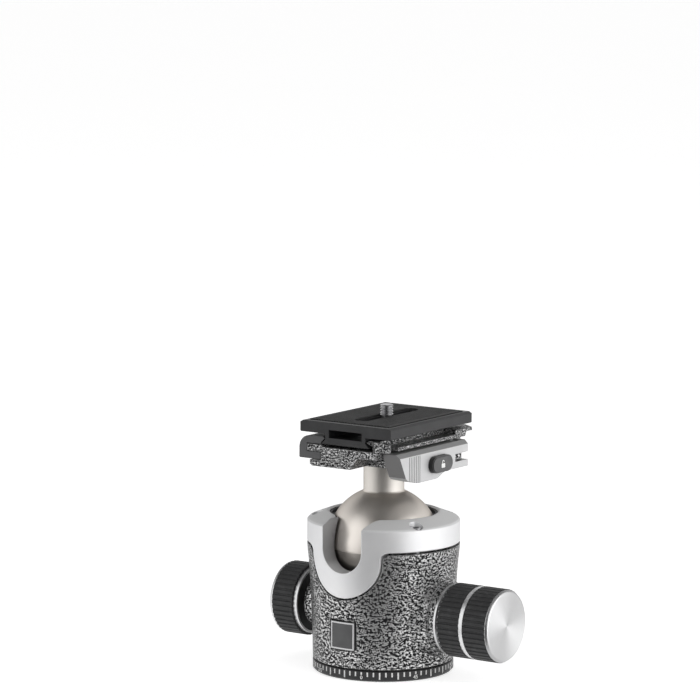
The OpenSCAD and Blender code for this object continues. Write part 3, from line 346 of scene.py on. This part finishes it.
def leverGrey():
    f = Finish("leverGrey", Metallic=0.25)
    grain = f.noise(lever["grain"], 2, 0.6)
    cloud = f.noise(lever["cloud"], 3).step(*lever["cloudSpan"])
    share = f.worn(lever["corner"]) * lever["cornerShare"] + cloud * lever["cloudShare"]
    facing = f.axes("Normal")
    # painted shade: faces turned forward and down (the nose) and faces turned up (the bevel) darker
    nose = 1 - facing[1].step(*lever["noseSpan"])
    bevel = facing[2].step(*lever["bevelSpan"])
    skin = f.mix(bevel, f.mix(share, lever["face"], lever["bright"]), lever["bevel"])
    f.set(Base_Color=f.mix(nose, skin, lever["nose"]),
          Roughness=lever["rough"] + grain.sway(lever["grainRough"]))
    f.relief(grain, lever["depth"], lever["soft"])
    return f


# lock button: grey face, its sides painted near black as shade
button = {"side": (0.008, 0.008, 0.008), "dark": (0.075, 0.075, 0.076), "light": (0.105, 0.105, 0.107),
          "faceSpan": (0.35, 0.8), "grain": 2600, "cloud": 110, "cloudSpan": (0.3, 0.7), "rough": 0.42,
          "grainRough": 0.25, "depth": 0.00002, "soft": 0.0004}


def buttonGrey():
    f = Finish("buttonGrey", Specular_IOR_Level=0.45)
    grain = f.noise(button["grain"], 3, 0.6)
    cloud = f.noise(button["cloud"], 2).step(*button["cloudSpan"])
    # painted shade: the sides that do not face outward near black
    outward = f.axes("Normal")[0].step(*button["faceSpan"])
    f.set(Base_Color=f.mix(outward, button["side"], f.mix(cloud, button["dark"], button["light"])),
          Roughness=button["rough"] + grain.sway(button["grainRough"]))
    f.relief(grain, button["depth"], button["soft"])
    return f


# bare metals of the screws and the inner pieces
bare = {"grain": 2600, "cloud": 140, "cloudSpan": (0.3, 0.75), "grainRough": 0.2, "depth": 0.00001,
        "soft": 0.0002}


def metal(name, dark, light, rough):
    f = Finish(name, Metallic=1.0)
    grain = f.noise(bare["grain"], 3, 0.6)
    cloud = f.noise(bare["cloud"], 3).step(*bare["cloudSpan"])
    f.set(Base_Color=f.mix(cloud, dark, light), Roughness=rough + grain.sway(bare["grainRough"]))
    f.relief(grain, bare["depth"], bare["soft"])
    return f


# moulded plastics, the pad's rubber and the painted marks
mould = {"grain": 2600, "cloud": 110, "cloudSpan": (0.3, 0.7), "cloudShare": 0.5, "corner": 0.0003,
         "cornerShare": 0.5, "grainRough": 0.25, "depth": 0.00002, "soft": 0.0003}


def moulded(name, dark, light, rough, scale=mould["grain"]):
    f = Finish(name, Specular_IOR_Level=0.45)
    grain = f.noise(scale, 3, 0.6)
    cloud = f.noise(mould["cloud"], 2).step(*mould["cloudSpan"])
    share = cloud * mould["cloudShare"] + f.worn(mould["corner"]) * mould["cornerShare"]
    f.set(Base_Color=f.mix(share, dark, light), Roughness=rough + grain.sway(mould["grainRough"]))
    f.relief(grain, mould["depth"], mould["soft"])
    return f


finishes = {
    "textured_paint": hammerPaint("hammerPaint", (265, 470), 0.87, 1.25),
    "satin_silver": satinSilver(),
    "champagne": champagne(),
    "black_anodised": anodised("blackAnodised", (0.020, 0.020, 0.021), (0.050, 0.050, 0.052)),
    "grip": rubberGrip(),
    "bright_trim": brightTrim(),
    "steel": metal("steel", (0.42, 0.42, 0.43), (0.58, 0.58, 0.59), 0.32),
    "dark_steel": metal("darkSteel", (0.05, 0.05, 0.055), (0.11, 0.11, 0.115), 0.35),
    "brass": metal("brass", (0.55, 0.40, 0.16), (0.70, 0.54, 0.25), 0.3),
    "polymer": moulded("blackPolymer", (0.006, 0.006, 0.006), (0.014, 0.014, 0.014), 0.6),
    "white_polymer": moulded("whitePolymer", (0.72, 0.71, 0.68), (0.80, 0.79, 0.76), 0.45),
    "jaw_grey": anodised("jawGrey", (0.075, 0.075, 0.077), (0.135, 0.135, 0.138)),
    "lever_grey": leverGrey(),
    "button_grey": buttonGrey(),
    "pad": moulded("padRubber", (0.016, 0.016, 0.016), (0.032, 0.032, 0.032), 0.7),
}
for part in frame["record"]["subparts"]:
    for holder in nodes[part["node"]].material_slots:
        holder.material = finishes[part["material_slot"]].holder

# the clamp's paint has finer marks than the housing's
nodes["clamp_body"].material_slots[0].material = hammerPaint("finePaint", (360, 640), 0.84, 1.34).holder
print("finishes:", len(finishes))


def addPiece(name, points, faces, finish, body, stands=(), where=None, sharp=35):
    mesh = bpy.data.meshes.new(name)
    mesh.from_pydata([tuple(c * mm for c in p) for p in points], [], faces)
    mesh.validate()
    mesh.materials.append(finish.holder)
    mesh.shade_smooth()
    mesh.set_sharp_from_angle(angle=math.radians(sharp))
    piece = bpy.data.objects.new(name, mesh)
    bpy.context.collection.objects.link(piece)
    if where:
        piece.matrix_world = where
    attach(piece, body)
    if stands:
        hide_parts(*stands)


def revolve(rings, steps):
    # each ring is (radius, height); a radius may depend on the share of a turn
    points, faces = [], []
    for radius, height in rings:
        for i in range(steps):
            r = radius(i / steps) if callable(radius) else radius
            points.append((r * math.cos(math.tau * i / steps), r * math.sin(math.tau * i / steps), height))
    for k in range(len(rings) - 1):
        for i in range(steps):
            j = (i + 1) % steps
            faces.append((k * steps + i, k * steps + j, (k + 1) * steps + j, (k + 1) * steps + i))
    return points, faces


def endFaces(rings, steps):
    last = (len(rings) - 1) * steps
    return [tuple(reversed(range(steps))), tuple(last + i for i in range(steps))]


# spun caps on the two knobs
knobHeight = 28.9
lockLow, lockHigh = (Vector(corner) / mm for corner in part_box("lock_knob_cap"))
panLow, panHigh = (Vector(corner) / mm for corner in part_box("pan_knob_cap"))
lockCap = {"x": lockLow.x, "radius": lockHigh.y, "thick": lockHigh.x - lockLow.x, "rim": 0.45, "slope": 1.2}
panCap = {"x": panHigh.x, "radius": panHigh.y, "thick": panHigh.x - panLow.x, "rim": 1.15, "slope": 0.6}

# both caps' turning, from the back: inward and up, then shares of the slope or of the radius
turning = {"hub": 0.02, "back": ((0.25, 0), (0.05, 0.06), (0, 0.2)), "shoulder": ((0.02, 0), (0.12, 0.15)),
           "brow": ((0.6, 0.2), (0.8, 0.08), (1, 0.02)), "lip": 0.25,
           "face": (0.85, 0.7, 0.55, 0.4, 0.25, 0.14, 0.06, 0.001), "steps": 160}


def spunCap(name, cap, way, finish, body, node):
    r, thick, slope = cap["radius"], cap["thick"], cap["slope"]
    rings = [(turning["hub"], 0)]
    rings += [(r - inward, up) for inward, up in turning["back"]]
    rings += [(r - inward, cap["rim"] + up) for inward, up in turning["shoulder"]]
    rings += [(r - slope * share, thick - below) for share, below in turning["brow"]]
    rings += [(r - slope - turning["lip"], thick)] + [(r * share, thick) for share in turning["face"]]
    points, faces = revolve(rings, turning["steps"])
    faces += endFaces(rings, turning["steps"])
    where = Matrix.Translation((cap["x"] * mm, 0, knobHeight * mm))
    where = where @ Matrix.Rotation(math.radians(90 * way), 4, "Y")
    addPiece(name, points, faces, finish, body, (node,), where)


spunFace = spun()
spunCap("lockKnobFace", lockCap, 1, spunFace, "lock_knob", "lock_knob_cap")
spunCap("panKnobFace", panCap, -1, spunFace, "pan_knob", "pan_knob_cap")
print("knob caps made")

# degree scale round the base ring
dial = {"radius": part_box("base_ring")[1][0] / mm, "proud": 0.03, "sunk": 0.1, "top": 4.6, "short": 2.2,
        "long": 3.4, "stub": 1.3, "width": 0.74, "phase": -73.3, "every": 5, "longEvery": 15,
        "digitEvery": 45, "digit": 2.5, "line": 1.15, "bold": 0.07, "curve": 4, "weld": 0.002}
markWhite = moulded("markWhite", (0.84, 0.84, 0.83), (0.92, 0.92, 0.91), 0.5, 1800)


def degreeScale():
    points, faces = [], []
    r = dial["radius"] + dial["proud"]

    def onRing(across, height, angle, out=0.0):
        a = math.radians(angle) + across / dial["radius"]
        return ((r + out) * math.cos(a), (r + out) * math.sin(a), height)

    def stripe(angle, low, high):
        start, half = len(points), dial["width"] / 2
        for out in (0.0, -dial["sunk"]):
            points.extend(onRing(across, height, angle, out) for height, across in
                          ((low, -half), (low, half), (high, half), (high, -half)))
        faces.extend(tuple(start + i for i in quad) for quad in
                     ((0, 1, 2, 3), (7, 6, 5, 4), (4, 5, 1, 0), (5, 6, 2, 1), (6, 7, 3, 2), (7, 4, 0, 3)))

    def digits(angle, number):
        words = bpy.data.curves.new("digits", "FONT")
        words.body, words.align_x, words.size = str(number), "CENTER", dial["digit"]
        words.extrude, words.offset, words.resolution_u = dial["sunk"] / 2, dial["bold"], dial["curve"]
        holder = bpy.data.objects.new("digits", words)
        bpy.context.collection.objects.link(holder)
        shape = bpy.data.meshes.new_from_object(holder.evaluated_get(bpy.context.evaluated_depsgraph_get()))
        joined = bmesh.new()
        joined.from_mesh(shape)
        bmesh.ops.remove_doubles(joined, verts=joined.verts, dist=dial["weld"])
        start = len(points)
        points.extend(onRing(v.co.x, v.co.y + dial["line"], angle, v.co.z - dial["sunk"] / 2)
                      for v in joined.verts)
        faces.extend(tuple(start + v.index for v in face.verts) for face in joined.faces)
        joined.free()
        bpy.data.objects.remove(holder)

    for degrees in range(0, 360, dial["every"]):
        angle = dial["phase"] + degrees
        length = dial["short"] if degrees % dial["longEvery"] else dial["long"]
        if degrees % dial["digitEvery"] == 0:
            digits(angle, degrees)
            length = dial["stub"]
        stripe(angle, dial["top"] - length, dial["top"])
    addPiece("degreeScale", points, faces, markWhite, "base")


degreeScale()

# light border on the bare badge plate
badge = {"radius": -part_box("badge_plate")[0][1] / mm, "side": 13.6, "height": 21.6, "inset": 0.12,
         "line": 0.75, "sunk": -0.15, "edge": 0.03, "proud": 0.09, "bevel": 0.06, "cuts": 10}
badgeLine = anodised("badgeLine", (0.58, 0.58, 0.59), (0.76, 0.76, 0.76), 0.35, 0.6)


def badgeBorder():
    points, faces, loops = [], [], []
    outer = badge["side"] / 2 - badge["inset"]
    inner = outer - badge["line"]
    cuts = badge["cuts"]
    square = [(-1, -1), (1, -1), (1, 1), (-1, 1)]
    section = [(outer, badge["sunk"]), (outer, badge["edge"]), (outer - badge["bevel"], badge["proud"]),
               (inner + badge["bevel"], badge["proud"]), (inner, badge["edge"]), (inner, badge["sunk"])]
    for half, proud in section:
        loop = []
        for (ax, az), (bx, bz) in zip(square, square[1:] + square[:1]):
            for i in range(cuts):
                x = half * (ax + (bx - ax) * i / cuts)
                z = half * (az + (bz - az) * i / cuts)
                depth = math.sqrt((badge["radius"] + proud) ** 2 - x * x)
                loop.append(len(points))
                points.append((x, -depth, badge["height"] + z))
        loops.append(loop)
    for first, second in zip(loops, loops[1:] + loops[:1]):
        for i in range(len(first)):
            j = (i + 1) % len(first)
            faces.append((first[i], first[j], second[j], second[i]))
    addPiece("badgeBorder", points, faces, badgeLine, "housing")


badgeBorder()

# open padlock on the lock button
sign = {"face": 31.6, "y": 4.6, "z": 103.2, "wide": 3.0, "tall": 2.1, "below": 0.85, "round": 0.35,
        "ring": 0.95, "line": 0.5, "rise": 0.75, "end": 0.15, "overlap": 0.05, "cuts": 14, "proud": 0.05,
        "sunk": 0.1}


def padlock():
    points, faces = [], []

    def plate(outline):
        start, count = len(points), len(outline)
        for x in (sign["face"] + sign["proud"], sign["face"] - sign["sunk"]):
            points.extend((x, sign["y"] + y, sign["z"] + z) for y, z in outline)
        faces.append(tuple(start + i for i in range(count)))
        faces.append(tuple(start + count + i for i in reversed(range(count))))
        faces.extend((start + i, start + count + i, start + count + (i + 1) % count, start + (i + 1) % count)
                     for i in range(count))

    def arc(cy, cz, radius, angles):
        return [(cy + radius * math.cos(a), cz + radius * math.sin(a)) for a in angles]

    half, soft, low = sign["wide"] / 2, sign["round"], -sign["tall"] * sign["below"]
    high = low + sign["tall"]
    outline = []
    for cy, cz, first in ((half - soft, high - soft, 0), (-half + soft, high - soft, 90),
                          (-half + soft, low + soft, 180), (half - soft, low + soft, 270)):
        outline += arc(cy, cz, soft, [math.radians(first + a) for a in (0, 30, 60, 90)])
    plate(outline)
    ring, line, rise = sign["ring"], sign["line"], high + sign["rise"]
    over = [math.pi * i / sign["cuts"] for i in range(sign["cuts"] + 1)]
    end, foot = rise - sign["end"], high - sign["overlap"]
    plate([(ring, end)] + arc(0, rise, ring, over) + [(-ring, foot), (-ring + line, foot)]
          + arc(0, rise, ring - line, over[::-1]) + [(ring - line, end)])
    addPiece("padlockSign", points, faces, markWhite, "button")


padlock()
print("marks made")

# threads: rows to a turn, ends that run out over half a pitch, flat crests and roots
thread = {"rows": 10, "runOut": 0.5, "steep": 1.3, "crest": 0.15, "steps": 168, "sharp": 25}


def threadRings(radius, cut, pitch, low, high):
    def ring(z):
        fade = min(1, (z - low) / pitch / thread["runOut"], (high - z) / pitch / thread["runOut"])

        def at(turn):
            wave = abs(((z / pitch - turn) % 1) * 2 - 1)
            return radius - cut * fade * min(1, max(0, wave * thread["steep"] - thread["crest"]))
        return at
    rows = round((high - low) / pitch * thread["rows"])
    return [(ring(z), z) for z in (low + (high - low) * k / rows for k in range(rows + 1))]


# camera screw: knurled head with a hex socket, waist, quarter-inch thread
screwLow, screwHigh = (Vector(corner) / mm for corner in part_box("camera_screw"))
screw = {"y": (screwLow.y + screwHigh.y) / 2, "low": screwLow.z, "top": screwHigh.z, "hub": 0.001,
         "head": 8.4, "headHeight": 3.1, "bevel": ((0.5, 0), (0.3, 0.1)), "knurls": 42, "knurlDeep": 0.22,
         "knurlEnd": 0.45, "socket": 2.286, "socketDeep": 1.86, "mouth": 0.25, "mouthDeep": 0.2,
         "waist": 2.54, "fillet": 0.2, "threadLow": 124.87, "radius": 3.175, "pitch": 1.27, "cut": 0.62,
         "tip": 0.45, "tipLong": 0.4}


def cameraScrew():
    low, top, head, waist = screw["low"], screw["top"], screw["head"], screw["waist"]
    crown, bottom = low + screw["headHeight"], low + screw["socketDeep"]

    def hexagon(turn):
        return screw["socket"] * math.cos(math.pi / 6) / math.cos((turn * 6 % 1 - 0.5) * math.pi / 3)

    def knurl(turn):
        return head - screw["knurlDeep"] * (0.5 + 0.5 * math.cos(math.tau * turn * screw["knurls"]))

    rings = [(screw["hub"], bottom), (hexagon, bottom), (hexagon, low + screw["mouthDeep"]),
             (screw["socket"] + screw["mouth"], low)]
    rings += [(head - inward, low + up) for inward, up in screw["bevel"]]
    rings += [(knurl, low + screw["knurlEnd"]), (knurl, crown - screw["knurlEnd"])]
    rings += [(head - inward, crown - down) for inward, down in screw["bevel"][::-1]]
    rings += [(waist + screw["fillet"], crown), (waist, crown + screw["fillet"]), (waist, screw["threadLow"])]
    rings += threadRings(screw["radius"], screw["cut"], screw["pitch"], screw["threadLow"],
                         top - screw["tipLong"])
    rings += [(screw["radius"] - screw["tip"], top), (screw["hub"], top)]
    points, faces = revolve(rings, thread["steps"])
    faces += endFaces(rings, thread["steps"])
    addPiece("cameraScrew", [(x, y + screw["y"], z) for x, y, z in points], faces, finishes["steel"],
             "camera_screw", ("camera_screw",), sharp=thread["sharp"])


# threaded lining of the tripod hole
hole = {"radius": 4.7425, "low": 0.15, "high": 13.9, "pitch": 1.5875, "cut": 0.7, "wall": 0.3}


def baseThread():
    wall = threadRings(hole["radius"], hole["cut"], hole["pitch"], hole["low"], hole["high"])
    back = hole["radius"] + hole["wall"]
    rings = [(back, hole["low"]), (back, hole["high"])] + wall[::-1]
    steps = thread["steps"]
    points, faces = revolve(rings, steps)
    last = (len(rings) - 1) * steps
    faces += [(last + i, last + (i + 1) % steps, (i + 1) % steps, i) for i in range(steps)]
    addPiece("baseThread", points, faces, finishes["satin_silver"], "base",
             sharp=thread["sharp"])


cameraScrew()
baseThread()
print("threads made")

# rubber pad on the plate: grooves along it, a slot for the screw
padLow, padHigh = (Vector(corner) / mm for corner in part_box("plate_pad"))
pad = {"slot": 4.175, "run": 20, "border": 2.4, "pitch": 1.7, "groove": 0.55, "slope": 0.12, "deep": 0.3,
       "cuts": 12, "apart": 0.02}


def groovedPad():
    mid, slot, cuts = screw["y"], pad["slot"], pad["cuts"]
    half, slope, deep = pad["groove"] / 2, pad["slope"], pad["deep"]
    count = int((2 * padHigh.x - 2 * pad["border"]) / pad["pitch"])
    first = -(count - 1) * pad["pitch"] / 2
    heights = {padLow.x: padHigh.z, padHigh.x: padHigh.z}
    for k in range(count):
        x = first + k * pad["pitch"]
        for across, drop in ((-half, 0), (-half + slope, deep), (half - slope, deep), (half, 0)):
            heights[x + across] = padHigh.z - drop
    places = sorted(heights)

    def heightAt(x):
        for a, b in zip(places, places[1:]):
            if a <= x <= b:
                return heights[a] + (heights[b] - heights[a]) * (x - a) / (b - a)

    # more columns where the slot's ends curve
    for x in [-slot, slot] + [slot * math.sin(math.pi * k / (2 * cuts)) for k in range(1 - cuts, cuts)]:
        if min(abs(x - other) for other in heights) > pad["apart"] or abs(x) == slot:
            heights[x] = heightAt(x)
    places = sorted(heights)
    points, faces = [], []
    for x in places:
        bow = math.sqrt(max(0, slot * slot - x * x))
        for y in (padLow.y, mid - pad["run"] - bow, mid + pad["run"] + bow, padHigh.y):
            points += [(x, y, padLow.z), (x, y, heights[x])]

    def quad(spots, flip=False):
        # a column has four rows, each with a bottom and a top point
        face = [8 * column + 2 * row + top for column, row, top in spots]
        faces.append(tuple(face[::-1] if flip else face))

    def wall(column, row, flip):
        quad([(column, row, 0), (column, row + 1, 0), (column, row + 1, 1), (column, row, 1)], flip)

    last = len(places) - 1
    for i in range(last):
        cutOut = abs(places[i] + places[i + 1]) / 2 < slot
        for row in (0, 2) if cutOut else (0, 1, 2):
            quad([(i, row, 1), (i + 1, row, 1), (i + 1, row + 1, 1), (i, row + 1, 1)])
            quad([(i, row, 0), (i, row + 1, 0), (i + 1, row + 1, 0), (i + 1, row, 0)])
        for row in (0, 1, 2, 3) if cutOut else (0, 3):
            quad([(i, row, 0), (i + 1, row, 0), (i + 1, row, 1), (i, row, 1)], row in (1, 3))
    for row in range(3):
        wall(0, row, True)
        wall(last, row, False)
    wall(places.index(-slot), 1, False)
    wall(places.index(slot), 1, True)
    addPiece("groovedPad", points, faces, finishes["pad"], "plate", ("plate_pad",))


groovedPad()
print("pad made")

# floor, in metres: reaches far back and a little in front of the head
ground = {"far": 30, "front": 0.075, "below": 0.0002, "dark": (0.80, 0.80, 0.80), "light": (0.82, 0.82, 0.82),
          "cloud": 3}


def stage():
    # keeps the shadow, and glows white to the lens and in reflections only
    f = Finish("paleFloor", Roughness=0.9, Emission_Strength=0.68)
    camera, glossy, clear = f.rays()
    f.set(Base_Color=f.mix(f.noise(ground["cloud"], 2), ground["dark"], ground["light"]),
          Emission_Color=f.mix(camera.most(glossy).most(clear), (0, 0, 0), (1, 1, 1)))
    far, front = ground["far"], ground["front"]
    spots = [viewRight * across + towardsLens * near for across, near in
             ((-far, front), (far, front), (far, -far), (-far, -far))]
    mesh = bpy.data.meshes.new("floor")
    mesh.from_pydata([tuple(spot) for spot in spots], [], [(0, 1, 2, 3)])
    mesh.materials.append(f.holder)
    floor = bpy.data.objects.new("floor", mesh)
    floor.location.z = -ground["below"]
    bpy.context.collection.objects.link(floor)


# soft boxes: (across to the right, towards the lens, up) in metres, (wide, tall), watts
lamps = {"key": ((1.4, 0.8, 0.3), (1.9, 2.2), 23.5), "fill": ((-1.4, 0.7, 0.5), (1.3, 2.0), 9),
         "front": ((0.2, 2.2, 0.3), (1.6, 1.0), 6), "top": ((0.3, 0.4, 1.7), (1.0, 1.0), 1.5)}
lampAim = Vector((0, 0, 0.065))

# surroundings: white behind; in reflections dim in front and overhead
sky = {"level": 0.36, "front": 0.07, "frontSpan": (-0.25, 0.45), "ceiling": 0.25, "ceilingSpan": (0.3, 0.8)}


def lights():
    for name, ((across, near, high), size, watts) in lamps.items():
        lamp = bpy.data.lights.new(name, "AREA")
        lamp.shape, lamp.energy = "RECTANGLE", watts
        lamp.size, lamp.size_y = size
        holder = bpy.data.objects.new(name, lamp)
        spot = viewRight * across + towardsLens * near + Vector((0, 0, high))
        turn = (spot - lampAim).to_track_quat("Z", "Y").to_matrix().to_4x4()
        holder.matrix_world = Matrix.Translation(spot) @ turn
        holder.visible_glossy = name != "front"
        bpy.context.collection.objects.link(holder)
    world = bpy.data.worlds.new("studio")
    bpy.context.scene.world = world
    f = Finish("studio", world)
    lit = world.node_tree.nodes["Background"]
    lit.inputs["Color"].default_value = (1, 1, 1, 1)
    camera, glossy, clear = f.rays()
    facing = f.add("ShaderNodeVectorMath", {"operation": "DOT_PRODUCT"},
                   {0: f.place("Generated"), 1: tuple(towardsLens)}, 1)
    behind = 1 - facing.step(*sky["frontSpan"])
    above = f.axes("Generated")[2].step(*sky["ceilingSpan"])
    level, front = sky["level"], sky["front"]
    mirror = (front + behind * (1 - front)) * (1 - above * (1 - sky["ceiling"]))
    f.feed(lit.inputs["Strength"],
           level + camera * (1 - level) + glossy * (mirror - level) + clear * (1 - level))


stage()
lights()
print("stage and lights made")
